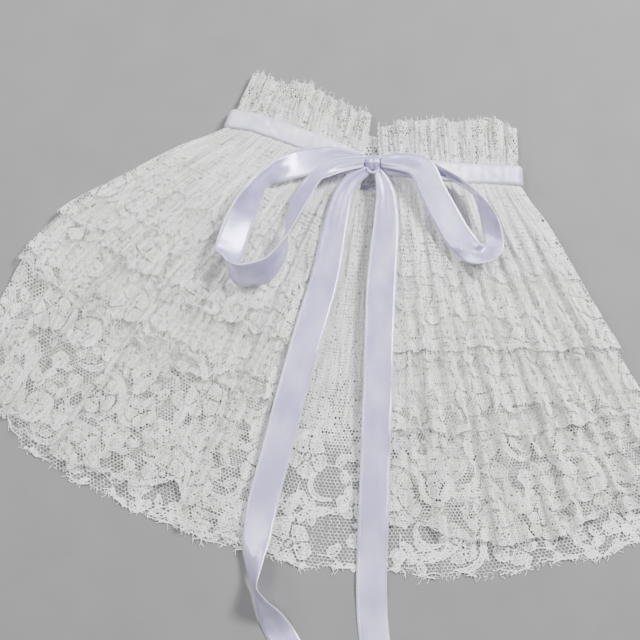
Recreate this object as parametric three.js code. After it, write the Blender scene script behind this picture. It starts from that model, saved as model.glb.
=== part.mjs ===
// A lace collar that lies flat, front side up: three gathered tiers and a pleated neck frill,
// tied at the front with a satin ribbon bow. Millimetres, +Z up, +Y towards the neck.
import * as THREE from "three";
import { mergeVertices } from "three/addons/utils/BufferGeometryUtils.js";

const { degToRad, lerp, smoothstep } = THREE.MathUtils;

// Cloth walls and the way they lie on each other
const WALL = 1;
const FLAT_PITCH = 1.5; // two flat layers, middle to middle
const GATHERED_PITCH = 2.4; // two gathered layers, middle to middle
const PITCH_RUN = 60; // distance from the neck over which the pitch grows
const HOLLOW = 1.9; // the innermost back and front layers, middle to middle
const STEP_RUN = 15; // length over which a layer settles past the edge beneath it
const STEP_START = 2;

// The neck seam: ribbon over the tucked ends of the tiers and of the frill
const BAND_WIDTH = 16;
const TIER_TUCK = 8;
const FRILL_TUCK = 8.5;
const BAND_TAB = 4.5; // the band runs on past each opening edge, under the knot

// Gathers of the tiers and pleats of the frill
const GATHERS = { left: 14, right: 13 };
const NECK_SWELL = 0.8;
const HEM_SWELL = 5;
const SWELL_RUN = 150;
const OPENING_SWELL = 0.3; // share of a gather's height under the ribbon tails
const PLEATS = { left: 10, right: 9 };
const PLEAT_BASE = 7;
const PLEAT_SEAM_HEIGHT = 1.4;
const PLEAT_TOP_HEIGHT = 4.6;
const RAGGED = 1.3;

const BACK_COLUMNS = 16;
const FOLD_ARC_STEPS = 4;
const DROOP_START = 100;
const DROOP_END = 220;

// Panel sections. Each row is one line from the neck seam to the hem: where it leaves the seam,
// its lean from straight down (to the left is positive), how far it droops back towards the middle,
// the lean of the band and frill above it (to the right is positive), the frill's length from the
// seam line, and the length of each tier. Front rows go from the opening to the side fold.
const FRONT_LEFT = [
  { at: 0.0, x: 33.8, y: 114.0, lean: 14.9, droop: 0, rise: 8, frill: 49, top: 144, middle: 191, bottom: 294 },
  { at: 0.18, x: 15.6, y: 123.7, lean: 22.7, droop: 0, rise: 11, frill: 49, top: 148, middle: 195, bottom: 301 },
  { at: 0.23, x: 10.2, y: 125.8, lean: 24.9, droop: 0, rise: 12, frill: 49, top: 149, middle: 195, bottom: 274 },
  { at: 0.32, x: 0.8, y: 129.5, lean: 28.9, droop: 0, rise: 14, frill: 50, top: 149, middle: 196, bottom: 288 },
  { at: 0.5, x: -18.4, y: 136.9, lean: 36.7, droop: 3, rise: 17, frill: 51, top: 148, middle: 196, bottom: 296 },
  { at: 0.7, x: -39.8, y: 144.9, lean: 45.0, droop: 12, rise: 21, frill: 50, top: 145, middle: 194, bottom: 291 },
  { at: 0.85, x: -56.1, y: 150.3, lean: 52.0, droop: 23, rise: 23, frill: 49, top: 143, middle: 192, bottom: 289 },
  { at: 1.0, x: -72.8, y: 154.1, lean: 61.0, droop: 37, rise: 24, frill: 50, top: 142, middle: 190, bottom: 288 },
];
const FRONT_RIGHT = [
  { at: 0.0, x: 46.1, y: 114.0, lean: 2.0, droop: 0, rise: -3, frill: 41, top: 139, middle: 198, bottom: 264 },
  { at: 0.15, x: 62.3, y: 112.6, lean: -3.0, droop: 0, rise: -3, frill: 46, top: 138, middle: 197, bottom: 268 },
  { at: 0.35, x: 83.9, y: 110.5, lean: -9.5, droop: 0, rise: -2, frill: 49, top: 137, middle: 199, bottom: 283 },
  { at: 0.5, x: 100.1, y: 108.7, lean: -14.4, droop: 0, rise: -2, frill: 51, top: 137, middle: 202, bottom: 279 },
  { at: 0.7, x: 121.7, y: 107.1, lean: -21.0, droop: -1, rise: -1, frill: 54, top: 140, middle: 199, bottom: 269 },
  { at: 0.85, x: 138.0, y: 106.6, lean: -25.9, droop: -3, rise: -1, frill: 53, top: 144, middle: 198, bottom: 267 },
  { at: 1.0, x: 154.2, y: 105.9, lean: -30.5, droop: -5, rise: -1, frill: 48, top: 144, middle: 198, bottom: 275 },
];
// The back goes from the left fold to the right fold.
const BACK = [
  { at: 0.0, x: -72.8, y: 154.1, lean: 61.0, droop: 37, rise: 24, frill: 50, top: 142, middle: 190, bottom: 288 },
  { at: 0.1, x: -51.5, y: 142.8, lean: 50.0, droop: 20, rise: 20, frill: 51, top: 143, middle: 192, bottom: 291 },
  { at: 0.2, x: -30.8, y: 130.5, lean: 39.0, droop: 8, rise: 17, frill: 53, top: 144, middle: 194, bottom: 293 },
  { at: 0.35, x: 0.3, y: 111.4, lean: 21.5, droop: 0, rise: 12, frill: 54, top: 144, middle: 195, bottom: 287 },
  { at: 0.5, x: 33.9, y: 99.7, lean: 6.0, droop: 0, rise: 5, frill: 52, top: 143, middle: 196, bottom: 286 },
  { at: 0.65, x: 70.0, y: 99.6, lean: -5.1, droop: 0, rise: 1, frill: 52, top: 141, middle: 197, bottom: 292 },
  { at: 0.8, x: 106.1, y: 102.7, lean: -16.1, droop: 0, rise: -1, frill: 53, top: 140, middle: 198, bottom: 293 },
  { at: 0.9, x: 130.1, y: 104.6, lean: -23.5, droop: -2, rise: -1, frill: 51, top: 142, middle: 198, bottom: 289 },
  { at: 1.0, x: 154.2, y: 105.9, lean: -30.5, droop: -5, rise: -1, frill: 48, top: 144, middle: 198, bottom: 275 },
];

// Ribbon sections, from the knot outwards. Each row is one line across the ribbon: its middle, the
// direction it runs in from its first edge to its second, how far that edge tips up, and its width.
const LOOP_LEFT = [
  { x: 34.0, y: 126.6, z: 14.2, across: -81, tip: 0, width: 8.5 },
  { x: 15.7, y: 128.6, z: 14.2, across: -73, tip: 0, width: 13 },
  { x: 0.0, y: 124.9, z: 14.3, across: -81, tip: -1, width: 20 },
  { x: -16.1, y: 121.4, z: 15.2, across: -82, tip: -1, width: 22 },
  { x: -28.6, y: 115.8, z: 18.2, across: -82, tip: -15, width: 18 },
  { x: -39.8, y: 108.3, z: 23.0, across: -87, tip: -58, width: 16 },
  { x: -49.8, y: 94.6, z: 23.8, across: -34, tip: -51, width: 19.5 },
  { x: -58.8, y: 78.0, z: 21.4, across: -11, tip: -27, width: 22 },
  { x: -65.0, y: 60.8, z: 20.8, across: -3, tip: -21, width: 23 },
  { x: -68.6, y: 44.9, z: 22.5, across: -23, tip: -35, width: 22 },
  { x: -68.3, y: 35.6, z: 25.0, across: -68, tip: -62, width: 21 },
  { x: -58.7, y: 29.7, z: 25.5, across: -87, tip: -57, width: 22 },
  { x: -40.9, y: 33.5, z: 25.5, across: -76, tip: -55, width: 23 },
  { x: -29.4, y: 45.4, z: 26.0, across: -60, tip: -68, width: 22 },
  { x: -24.3, y: 57.7, z: 26.5, across: -20, tip: -89, width: 21 },
  { x: -21.4, y: 71.4, z: 26.8, across: -17, tip: -114, width: 22 },
  { x: -15.9, y: 86.4, z: 25.5, across: -10, tip: -129, width: 22 },
  { x: -8.0, y: 102.3, z: 23.0, across: 5, tip: -148, width: 19 },
  { x: 3.4, y: 112.7, z: 20.8, across: -37, tip: -168, width: 12.5 },
  { x: 17.6, y: 118.8, z: 20.0, across: -73, tip: -180, width: 11 },
  { x: 33.6, y: 121.3, z: 19.5, across: -98, tip: -180, width: 8 },
];
const LOOP_RIGHT = [
  { x: 46.5, y: 121.4, z: 19.4, across: 89, tip: 0, width: 8 },
  { x: 57.5, y: 120.9, z: 21.0, across: 86, tip: 0, width: 13 },
  { x: 68.7, y: 119.1, z: 23.0, across: 58, tip: 7, width: 16.5 },
  { x: 77.3, y: 113.4, z: 24.5, across: 28, tip: 15, width: 19.5 },
  { x: 84.3, y: 98.2, z: 23.5, across: 14, tip: 15, width: 20 },
  { x: 93.1, y: 80.0, z: 22.0, across: 14, tip: 16, width: 21.5 },
  { x: 100.8, y: 65.5, z: 20.5, across: 13, tip: 18, width: 22 },
  { x: 107.1, y: 56.7, z: 19.8, across: 11, tip: 16, width: 22.5 },
  { x: 112.0, y: 50.6, z: 20.0, across: 20, tip: 10, width: 21 },
  { x: 117.4, y: 47.6, z: 21.0, across: 48, tip: -7, width: 18 },
  { x: 124.2, y: 48.2, z: 22.0, across: 92, tip: -25, width: 18 },
  { x: 128.7, y: 52.0, z: 22.5, across: 120, tip: -30, width: 21 },
  { x: 129.9, y: 59.0, z: 22.5, across: 137, tip: -34, width: 22.5 },
  { x: 128.6, y: 69.9, z: 23.0, across: 141, tip: -36, width: 22.5 },
  { x: 125.0, y: 81.9, z: 23.5, across: 138, tip: -44, width: 21.5 },
  { x: 119.9, y: 90.8, z: 24.2, across: 128, tip: -57, width: 21 },
  { x: 111.4, y: 99.2, z: 24.5, across: 122, tip: -71, width: 20 },
  { x: 99.9, y: 107.6, z: 23.2, across: 140, tip: -82, width: 18 },
  { x: 88.4, y: 114.8, z: 20.0, across: 200, tip: -75, width: 12 },
  { x: 77.7, y: 119.6, z: 16.3, across: 252, tip: -22, width: 10.5 },
  { x: 62.7, y: 122.4, z: 14.9, across: 265, tip: -3, width: 10.5 },
  { x: 46.9, y: 123.6, z: 15.0, across: 269, tip: 0, width: 8.5 },
];
const TAIL_LEFT = [
  { x: 36.1, y: 116.2, z: 16.8, across: -40, tip: 0, width: 8 },
  { x: 25.6, y: 108.6, z: 16.5, across: -26, tip: -2, width: 12 },
  { x: 18.2, y: 97.5, z: 15.0, across: -20, tip: -2, width: 14 },
  { x: 13.4, y: 80.5, z: 13.9, across: -12, tip: 0, width: 17 },
  { x: 9.8, y: 61.5, z: 13.6, across: -10, tip: 0, width: 19 },
  { x: 3.4, y: 30.2, z: 13.6, across: -13, tip: 0, width: 21 },
  { x: -4.7, y: 1.6, z: 13.6, across: -13, tip: 0, width: 22 },
  { x: -11.9, y: -23.2, z: 13.5, across: -11, tip: 0, width: 22 },
  { x: -17.5, y: -43.5, z: 11.6, across: -12, tip: 0, width: 22 },
  { x: -23.1, y: -64.3, z: 10.0, across: -12, tip: 0, width: 22 },
  { x: -32.5, y: -101.2, z: 6.6, across: -12, tip: 0, width: 22 },
  { x: -41.6, y: -137.5, z: 6.2, across: -12, tip: 0, width: 22 },
  { x: -45.5, y: -160.3, z: 7.2, across: -11, tip: 6, width: 21 },
  { x: -48.1, y: -177.5, z: 9.6, across: -15, tip: 36, width: 19 },
  { x: -47.8, y: -191.2, z: 11.0, across: -5, tip: 66, width: 19 },
  { x: -46.4, y: -200.3, z: 11.4, across: 30, tip: 80, width: 19 },
  { x: -41.9, y: -210.0, z: 9.4, across: 26, tip: 62, width: 18 },
  { x: -34.2, y: -220.7, z: 4.6, across: 18, tip: 22, width: 19 },
  { x: -26.5, y: -233.4, z: 1.0, across: 16, tip: 2, width: 21 },
  { x: -16.1, y: -251.1, z: 0.5, across: 22, tip: 0, width: 21.5 },
  { x: -1.4, y: -271.2, z: 0.5, across: 29, tip: 0, width: 22 },
  { x: 14.5, y: -290.5, z: 0.5, across: 32, tip: 0, width: 22 },
];
const TAIL_RIGHT = [
  { x: 44.0, y: 115.9, z: 16.8, across: 14, tip: 0, width: 6.5 },
  { x: 48.6, y: 104.6, z: 16.2, across: 6, tip: 0, width: 12 },
  { x: 50.5, y: 91.2, z: 14.4, across: 3, tip: 0, width: 16 },
  { x: 50.3, y: 74.9, z: 13.8, across: 0, tip: 0, width: 19 },
  { x: 48.6, y: 55.2, z: 13.6, across: 0, tip: 0, width: 21 },
  { x: 46.0, y: 23.6, z: 13.6, across: -2, tip: 0, width: 22 },
  { x: 44.5, y: -9.9, z: 13.6, across: 0, tip: 0, width: 22 },
  { x: 43.6, y: -31.5, z: 13.2, across: 0, tip: 0, width: 22 },
  { x: 42.6, y: -58.8, z: 10.3, across: 0, tip: 0, width: 22 },
  { x: 41.4, y: -83.8, z: 9.7, across: 0, tip: 0, width: 22 },
  { x: 40.6, y: -104.7, z: 6.6, across: 0, tip: 0, width: 22 },
  { x: 39.4, y: -136.1, z: 6.2, across: 0, tip: 0, width: 22 },
  { x: 38.5, y: -158.3, z: 4.6, across: 0, tip: 0, width: 22 },
  { x: 37.7, y: -178.4, z: 2.1, across: 0, tip: 0, width: 22 },
  { x: 37.2, y: -196.6, z: 1.7, across: 0, tip: 0, width: 22 },
  { x: 37.5, y: -214.2, z: 0.6, across: 0, tip: 0, width: 22 },
  { x: 39.1, y: -234.7, z: 0.5, across: 1, tip: 0, width: 22 },
  { x: 42.4, y: -258.8, z: 0.5, across: 3, tip: 0, width: 22 },
  { x: 47.2, y: -282.6, z: 0.5, across: 8, tip: 0, width: 22 },
  { x: 51.2, y: -299.4, z: 0.5, across: 11, tip: 0, width: 22 },
];
const STRIP_STEPS = 2; // sections between two rows of a ribbon table

const KNOT = { x: 40.4, y: 121.6, z: 17.3, halfX: 6, halfY: 6.2, halfZ: 5, squareness: 0.75, crease: 0.05 };

// The value of one column of a table at a place between its rows, without overshoot
function read(rows, column, at) {
  const slopes = [];
  for (let i = 0; i + 1 < rows.length; i++) {
    slopes.push((rows[i + 1][column] - rows[i][column]) / (rows[i + 1].at - rows[i].at));
  }
  const tangent = (i) => {
    const before = slopes[Math.max(i - 1, 0)];
    const after = slopes[Math.min(i, slopes.length - 1)];
    return before * after <= 0 ? 0 : (2 * before * after) / (before + after);
  };
  let i = 0;
  while (i + 2 < rows.length && at > rows[i + 1].at) i++;
  const span = rows[i + 1].at - rows[i].at;
  const t = (at - rows[i].at) / span;
  const from = rows[i][column];
  const to = rows[i + 1][column];
  const blend = t * t * (3 - 2 * t);
  const leaving = t * (1 - t) * (1 - t) * span * tangent(i);
  const arriving = t * t * (1 - t) * span * tangent(i + 1);
  return lerp(from, to, blend) + leaving - arriving;
}

// Uneven widths of the gathers, and four columns to each: valley, flank, crest, flank
function gatherStops(count, phase) {
  const widths = [];
  for (let i = 0; i < count; i++) widths.push(1 + 0.34 * Math.sin(2.4 * i + phase));
  const total = widths.reduce((sum, width) => sum + width, 0);
  const stops = [];
  let start = 0;
  widths.forEach((width, gather) => {
    [0, 0.5, 1, 0.5].forEach((wave, quarter) => {
      stops.push({ at: (start + (width * quarter) / 4) / total, wave, gather });
    });
    start += width;
  });
  stops.push({ at: 1, wave: 0, gather: count });
  return stops;
}

function evenStops(count) {
  const stops = [];
  for (let i = 0; i <= count; i++) stops.push({ at: i / count, wave: 0, gather: 0 });
  return stops;
}

const COLUMN_NAMES = ["x", "y", "lean", "droop", "rise", "frill", "top", "middle", "bottom"];

// One column of the loop: turn is 0 on the front, half a turn on the back, and between them on a fold
function columnAt(rows, stop, turn, side) {
  const column = { ...stop, turn, side };
  COLUMN_NAMES.forEach((name) => {
    column[name] = read(rows, name, stop.at);
  });
  return column;
}

function foldColumns(rows, side) {
  const columns = [];
  for (let i = 1; i < FOLD_ARC_STEPS; i++) {
    columns.push(columnAt(rows, { at: 1, wave: 0, gather: 0 }, (Math.PI * i) / FOLD_ARC_STEPS, side));
  }
  return columns;
}

// The whole way round: front left, left fold, back, right fold, front right
function loopColumns(leftStops, rightStops) {
  const left = leftStops.map((stop) => columnAt(FRONT_LEFT, stop, 0, -1));
  const back = evenStops(BACK_COLUMNS).map((stop) => columnAt(BACK, stop, Math.PI, stop.at < 0.5 ? -1 : 1));
  const right = rightStops.map((stop) => columnAt(FRONT_RIGHT, stop, 0, 1));
  return [
    ...left,
    ...foldColumns(FRONT_LEFT, -1),
    ...back,
    ...foldColumns(FRONT_RIGHT, 1).reverse(),
    ...right.reverse(),
  ];
}

// The place on the ground under a column, at a distance from the seam line, with the way it heads
function planPoint(column, distance) {
  if (distance <= 0) {
    const rise = degToRad(column.rise);
    return {
      x: column.x - Math.sin(rise) * distance,
      y: column.y - Math.cos(rise) * distance,
      outX: column.side * Math.cos(rise),
      outY: -column.side * Math.sin(rise),
    };
  }
  const STEPS = 16;
  const step = distance / STEPS;
  let { x, y } = column;
  let heading = 0;
  for (let i = 0; i < STEPS; i++) {
    const droop = column.droop * smoothstep((i + 0.5) * step, DROOP_START, DROOP_END);
    heading = degToRad(column.lean - droop);
    x -= Math.sin(heading) * step;
    y -= Math.cos(heading) * step;
  }
  return { x, y, outX: column.side * Math.cos(heading), outY: -column.side * Math.sin(heading) };
}

// How much a layer still lies on one that ends at an edge: 1 over it, 0 well past it
function liesOn(distance, edge) {
  return 1 - smoothstep(distance, edge + STEP_START, edge + STEP_START + STEP_RUN);
}

// Layers from the outside in: 0 is the neck ribbon, then the top, middle and bottom tiers
const INNERMOST = 3;
function backHeight(column, distance, layer) {
  const edges = [0, column.top, column.middle];
  const beneath = edges.slice(0, layer).reduce((sum, edge) => sum + liesOn(distance, edge), 0);
  return WALL / 2 + FLAT_PITCH * beneath;
}

function swell(column, distance) {
  const grown = Math.min(Math.max(distance / SWELL_RUN, 0), 1);
  const uneven = 1 + 0.32 * Math.sin(2.3 * column.gather + distance / 55);
  const opening = lerp(OPENING_SWELL, 1, smoothstep(column.at, 0.09, 0.18));
  const fold = 1 - smoothstep(column.at, 0.9, 0.98);
  return column.wave * lerp(NECK_SWELL, HEM_SWELL, grown) * (distance > 0 ? uneven : 1) * opening * fold;
}

function frontHeight(column, distance, layer) {
  const pitch = lerp(FLAT_PITCH, GATHERED_PITCH, smoothstep(distance, 0, PITCH_RUN));
  const base = backHeight(column, distance, INNERMOST) + HOLLOW;
  return base + pitch * (INNERMOST - layer) + swell(column, distance);
}

// A point of the loop between its front and back heights, rounded outwards on a side fold
function loopPoint(column, distance, front, back) {
  const plan = planPoint(column, distance);
  const radius = (front - back) / 2;
  const out = radius * Math.sin(column.turn);
  return new THREE.Vector3(
    plan.x + plan.outX * out,
    plan.y + plan.outY * out,
    back + radius * (1 + Math.cos(column.turn)),
  );
}

function layerPoint(column, distance, layer) {
  const front = frontHeight(column, distance, layer);
  return loopPoint(column, distance, front, backHeight(column, distance, layer));
}

// A closed wall of even thickness round a grid of middle points, grid[row][column]
function wallGeometry(grid) {
  const rows = grid.length;
  const columns = grid[0].length;
  const faces = { outer: [], inner: [] };
  for (let r = 0; r < rows; r++) {
    for (let c = 0; c < columns; c++) {
      const along = grid[r][Math.min(c + 1, columns - 1)].clone().sub(grid[r][Math.max(c - 1, 0)]);
      const down = grid[Math.min(r + 1, rows - 1)][c].clone().sub(grid[Math.max(r - 1, 0)][c]);
      const normal = along.cross(down).normalize().multiplyScalar(WALL / 2);
      faces.outer.push(grid[r][c].clone().add(normal));
      faces.inner.push(grid[r][c].clone().sub(normal));
    }
  }
  const points = [...faces.outer, ...faces.inner];
  const outer = (r, c) => r * columns + c;
  const inner = (r, c) => rows * columns + r * columns + c;
  const index = [];
  const quad = (a, b, c, d) => index.push(a, b, c, a, c, d);
  for (let r = 0; r + 1 < rows; r++) {
    for (let c = 0; c + 1 < columns; c++) {
      quad(outer(r, c), outer(r, c + 1), outer(r + 1, c + 1), outer(r + 1, c));
      quad(inner(r, c), inner(r + 1, c), inner(r + 1, c + 1), inner(r, c + 1));
    }
    quad(outer(r, 0), outer(r + 1, 0), inner(r + 1, 0), inner(r, 0));
    quad(outer(r, columns - 1), inner(r, columns - 1), inner(r + 1, columns - 1), outer(r + 1, columns - 1));
  }
  for (let c = 0; c + 1 < columns; c++) {
    quad(outer(0, c), inner(0, c), inner(0, c + 1), outer(0, c + 1));
    quad(outer(rows - 1, c), outer(rows - 1, c + 1), inner(rows - 1, c + 1), inner(rows - 1, c));
  }
  return new THREE.BufferGeometry().setFromPoints(points).setIndex(index);
}

// Lace tiers: rows of the grid stand where a layer settles past the edge of the one beneath it
function tierGeometry(columns, layer, tier, edgesBeneath) {
  const rowCount = 4 + 2 * edgesBeneath.length;
  const grid = [];
  for (let r = 0; r < rowCount; r++) {
    grid.push(
      columns.map((column) => {
        const settled = edgesBeneath.flatMap((edge) => [
          column[edge] + STEP_START,
          column[edge] + STEP_START + STEP_RUN,
        ]);
        const distances = [-TIER_TUCK, 0, STEP_START + STEP_RUN, ...settled, column[tier]];
        return layerPoint(column, distances[r], layer);
      }),
    );
  }
  return wallGeometry(grid);
}

// The ribbon round the neck, with a short tab past each opening edge
function bandGeometry(columns) {
  const tab = (column, heading) => ({ ...column, x: column.x + heading * BAND_TAB, wave: 0 });
  const all = [tab(columns[0], 1), ...columns, tab(columns[columns.length - 1], -1)];
  return wallGeometry([0, -BAND_WIDTH].map((distance) => all.map((column) => layerPoint(column, distance, 0))));
}

// The frill above the seam: pleated in front, flat at the back, with a raw uneven top edge
function frillGeometry() {
  const columns = loopColumns(gatherStops(PLEATS.left, 1), gatherStops(PLEATS.right, 4));
  const bandEdge = BAND_WIDTH + STEP_START;
  const rows = [() => FRILL_TUCK, () => bandEdge, () => bandEdge + STEP_RUN / 2];
  rows.push((column, i) => column.frill + RAGGED * Math.sin(3.1 * i));
  const grid = rows.map((reach) =>
    columns.map((column, i) => {
      const distance = reach(column, i);
      const grown = smoothstep(distance, BAND_WIDTH, column.frill);
      const fold = 1 - smoothstep(column.at, 0.95, 1);
      const front = PLEAT_BASE + column.wave * lerp(PLEAT_SEAM_HEIGHT, PLEAT_TOP_HEIGHT, grown) * fold;
      const back = WALL / 2 + FLAT_PITCH * (1 - smoothstep(distance, bandEdge, bandEdge + STEP_RUN / 2));
      return loopPoint(column, -distance, front, back);
    }),
  );
  return wallGeometry(grid);
}

// A satin strip through its table of sections
function stripGeometry(rows) {
  const names = ["x", "y", "z", "across", "tip", "width"];
  const placed = rows.map((row, i) => ({ ...row, at: i }));
  const edges = [[], []];
  for (let i = 0; i <= (rows.length - 1) * STRIP_STEPS; i++) {
    const section = {};
    names.forEach((name) => {
      section[name] = read(placed, name, i / STRIP_STEPS);
    });
    const tip = degToRad(section.tip);
    const across = degToRad(section.across);
    const half = new THREE.Vector3(
      Math.cos(tip) * Math.cos(across),
      Math.cos(tip) * Math.sin(across),
      Math.sin(tip),
    ).multiplyScalar(section.width / 2);
    const middle = new THREE.Vector3(section.x, section.y, section.z);
    edges[0].push(middle.clone().sub(half));
    edges[1].push(middle.clone().add(half));
  }
  return wallGeometry(edges);
}

// The knot: a rounded block with the creases of the wrapped ribbon
function knotGeometry() {
  const sphere = new THREE.SphereGeometry(1, 24, 14);
  const place = sphere.getAttribute("position");
  const squared = (value) => Math.sign(value) * Math.abs(value) ** KNOT.squareness;
  for (let i = 0; i < place.count; i++) {
    const [x, y, z] = [place.getX(i), place.getY(i), place.getZ(i)];
    const crease = 1 - KNOT.crease * (1 + Math.cos(9 * x + 3 * y)) * (1 - z * z);
    place.setXYZ(
      i,
      KNOT.x + KNOT.halfX * squared(x) * crease,
      KNOT.y + KNOT.halfY * squared(y) * crease,
      KNOT.z + KNOT.halfZ * squared(z),
    );
  }
  return sphere;
}

const lace = { color: 0xe6e4dd, roughness: 0.9, metalness: 0 };
const satin = { color: 0xd9d7ea, roughness: 0.35, metalness: 0 };

// A mesh with only shared points, turned so that its faces point out
function piece(name, geometry, look) {
  geometry.deleteAttribute("normal");
  geometry.deleteAttribute("uv");
  const merged = mergeVertices(geometry, 1e-4);
  const place = merged.getAttribute("position");
  const corners = [new THREE.Vector3(), new THREE.Vector3(), new THREE.Vector3()];
  let volume = 0;
  for (let i = 0; i < merged.index.count; i += 3) {
    corners.forEach((corner, k) => corner.fromBufferAttribute(place, merged.index.getX(i + k)));
    volume += corners[0].dot(corners[1].clone().cross(corners[2]));
  }
  if (volume < 0) merged.index.array.reverse();
  merged.computeVertexNormals();
  const mesh = new THREE.Mesh(merged, new THREE.MeshStandardMaterial(look));
  mesh.name = name;
  return mesh;
}

const tierColumns = loopColumns(gatherStops(GATHERS.left, 0), gatherStops(GATHERS.right, 2));
const collar = new THREE.Group();
collar.add(
  piece("neck_frill", frillGeometry(), lace),
  piece("neck_ribbon", bandGeometry(tierColumns), satin),
  piece("tier_top", tierGeometry(tierColumns, 1, "top", []), lace),
  piece("tier_middle", tierGeometry(tierColumns, 2, "middle", ["top"]), lace),
  piece("tier_bottom", tierGeometry(tierColumns, INNERMOST, "bottom", ["top", "middle"]), lace),
  piece("bow_knot", knotGeometry(), satin),
  piece("bow_loop_left", stripGeometry(LOOP_LEFT), satin),
  piece("bow_loop_right", stripGeometry(LOOP_RIGHT), satin),
  piece("ribbon_tail_left", stripGeometry(TAIL_LEFT), satin),
  piece("ribbon_tail_right", stripGeometry(TAIL_RIGHT), satin),
);

// The origin is under the middle of the collar, on the surface it lies on
const box = new THREE.Box3().setFromObject(collar);
const middle = box.getCenter(new THREE.Vector3());
collar.position.set(-middle.x, -middle.y, -box.min.z);

export default collar;
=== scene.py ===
from math import cos, exp, inf, pi, radians, sin, sqrt

import bpy
import numpy as np
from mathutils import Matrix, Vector


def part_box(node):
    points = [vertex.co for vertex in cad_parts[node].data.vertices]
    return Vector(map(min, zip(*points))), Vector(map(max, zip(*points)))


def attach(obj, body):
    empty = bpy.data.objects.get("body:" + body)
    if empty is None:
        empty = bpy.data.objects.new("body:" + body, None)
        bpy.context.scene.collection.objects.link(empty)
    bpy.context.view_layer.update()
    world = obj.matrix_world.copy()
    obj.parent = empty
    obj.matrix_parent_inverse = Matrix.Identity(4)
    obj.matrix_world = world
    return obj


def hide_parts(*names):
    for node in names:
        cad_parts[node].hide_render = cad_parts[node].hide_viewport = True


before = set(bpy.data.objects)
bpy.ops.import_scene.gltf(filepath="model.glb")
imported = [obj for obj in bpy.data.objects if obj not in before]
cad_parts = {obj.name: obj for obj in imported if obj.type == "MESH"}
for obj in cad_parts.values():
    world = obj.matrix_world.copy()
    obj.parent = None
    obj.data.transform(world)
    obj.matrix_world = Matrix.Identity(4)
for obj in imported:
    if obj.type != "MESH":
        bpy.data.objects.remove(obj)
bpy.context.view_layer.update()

MM = 0.001
TINY = 1e-12


# Camera: almost straight down, from the hem's side
LENS = 85.0
SENSOR = 36.0
FRAME_WIDTH = 0.480  # width that the picture covers at the aim
ELEVATION = radians(76)
AIM = (0.0, 0.0, 8.0)  # in the collar's drawing, millimetres


# The collar's drawing, in millimetres: +Y towards the neck, z = 0 on the surface it lies on
WALL = 1.0
FLAT_PITCH = 1.5
GATHERED_PITCH = 2.4
PITCH_RUN = 60.0
HOLLOW = 1.9
STEP_RUN = 15.0
STEP_START = 2.0
INNERMOST = 3
BAND_WIDTH = 16.0
BAND_TAB = 4.5
TIER_TUCK = 8.0
FRILL_TUCK = 8.5
GATHERS = ((14, 0), (13, 2))  # count and phase, left and right
PLEATS = ((10, 1), (9, 4))
NECK_SWELL = 0.8
HEM_SWELL = 5.0
SWELL_RUN = 150.0
OPENING_SWELL = 0.3
OPENING_RUN = (0.09, 0.18)  # shares of a front's seam over which the gathers rise beside the opening
FOLD_RUN = (0.9, 0.98)  # and die out towards the side fold
PLEAT_BASE = 7.0
PLEAT_SEAM_HEIGHT = 1.4
PLEAT_TOP_HEIGHT = 4.6
DROOP_START = 100.0
DROOP_END = 220.0

PANEL_COLUMNS = ("at", "x", "y", "lean", "droop", "rise", "frill", "top", "middle", "bottom")
FRONT_LEFT = (
    (0.00, 33.8, 114.0, 14.9, 0, 8, 49, 144, 191, 294),
    (0.18, 15.6, 123.7, 22.7, 0, 11, 49, 148, 195, 301),
    (0.23, 10.2, 125.8, 24.9, 0, 12, 49, 149, 195, 274),
    (0.32, 0.8, 129.5, 28.9, 0, 14, 50, 149, 196, 288),
    (0.50, -18.4, 136.9, 36.7, 3, 17, 51, 148, 196, 296),
    (0.70, -39.8, 144.9, 45.0, 12, 21, 50, 145, 194, 291),
    (0.85, -56.1, 150.3, 52.0, 23, 23, 49, 143, 192, 289),
    (1.00, -72.8, 154.1, 61.0, 37, 24, 50, 142, 190, 288),
)
FRONT_RIGHT = (
    (0.00, 46.1, 114.0, 2.0, 0, -3, 41, 139, 198, 264),
    (0.15, 62.3, 112.6, -3.0, 0, -3, 46, 138, 197, 268),
    (0.35, 83.9, 110.5, -9.5, 0, -2, 49, 137, 199, 283),
    (0.50, 100.1, 108.7, -14.4, 0, -2, 51, 137, 202, 279),
    (0.70, 121.7, 107.1, -20.4, 0, -1, 54, 140, 199, 269),
    (0.85, 138.0, 106.6, -24.0, 0, -1, 53, 144, 198, 267),
    (1.00, 154.2, 105.9, -27.0, 0, -1, 48, 144, 198, 275),
)
BACK = (
    (0.00, *FRONT_LEFT[-1][1:]),
    (0.10, -51.5, 142.8, 50.0, 20, 20, 51, 143, 192, 291),
    (0.20, -30.8, 130.5, 39.0, 8, 17, 53, 144, 194, 293),
    (0.35, 0.3, 111.4, 21.5, 0, 12, 54, 144, 195, 287),
    (0.50, 33.9, 99.7, 6.0, 0, 5, 52, 143, 196, 286),
    (0.65, 70.0, 99.6, -5.1, 0, 1, 52, 141, 197, 292),
    (0.80, 106.1, 102.7, -15.2, 0, -1, 53, 140, 198, 293),
    (0.90, 130.1, 104.6, -21.3, 0, -1, 51, 142, 198, 289),
    FRONT_RIGHT[-1],
)

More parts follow.
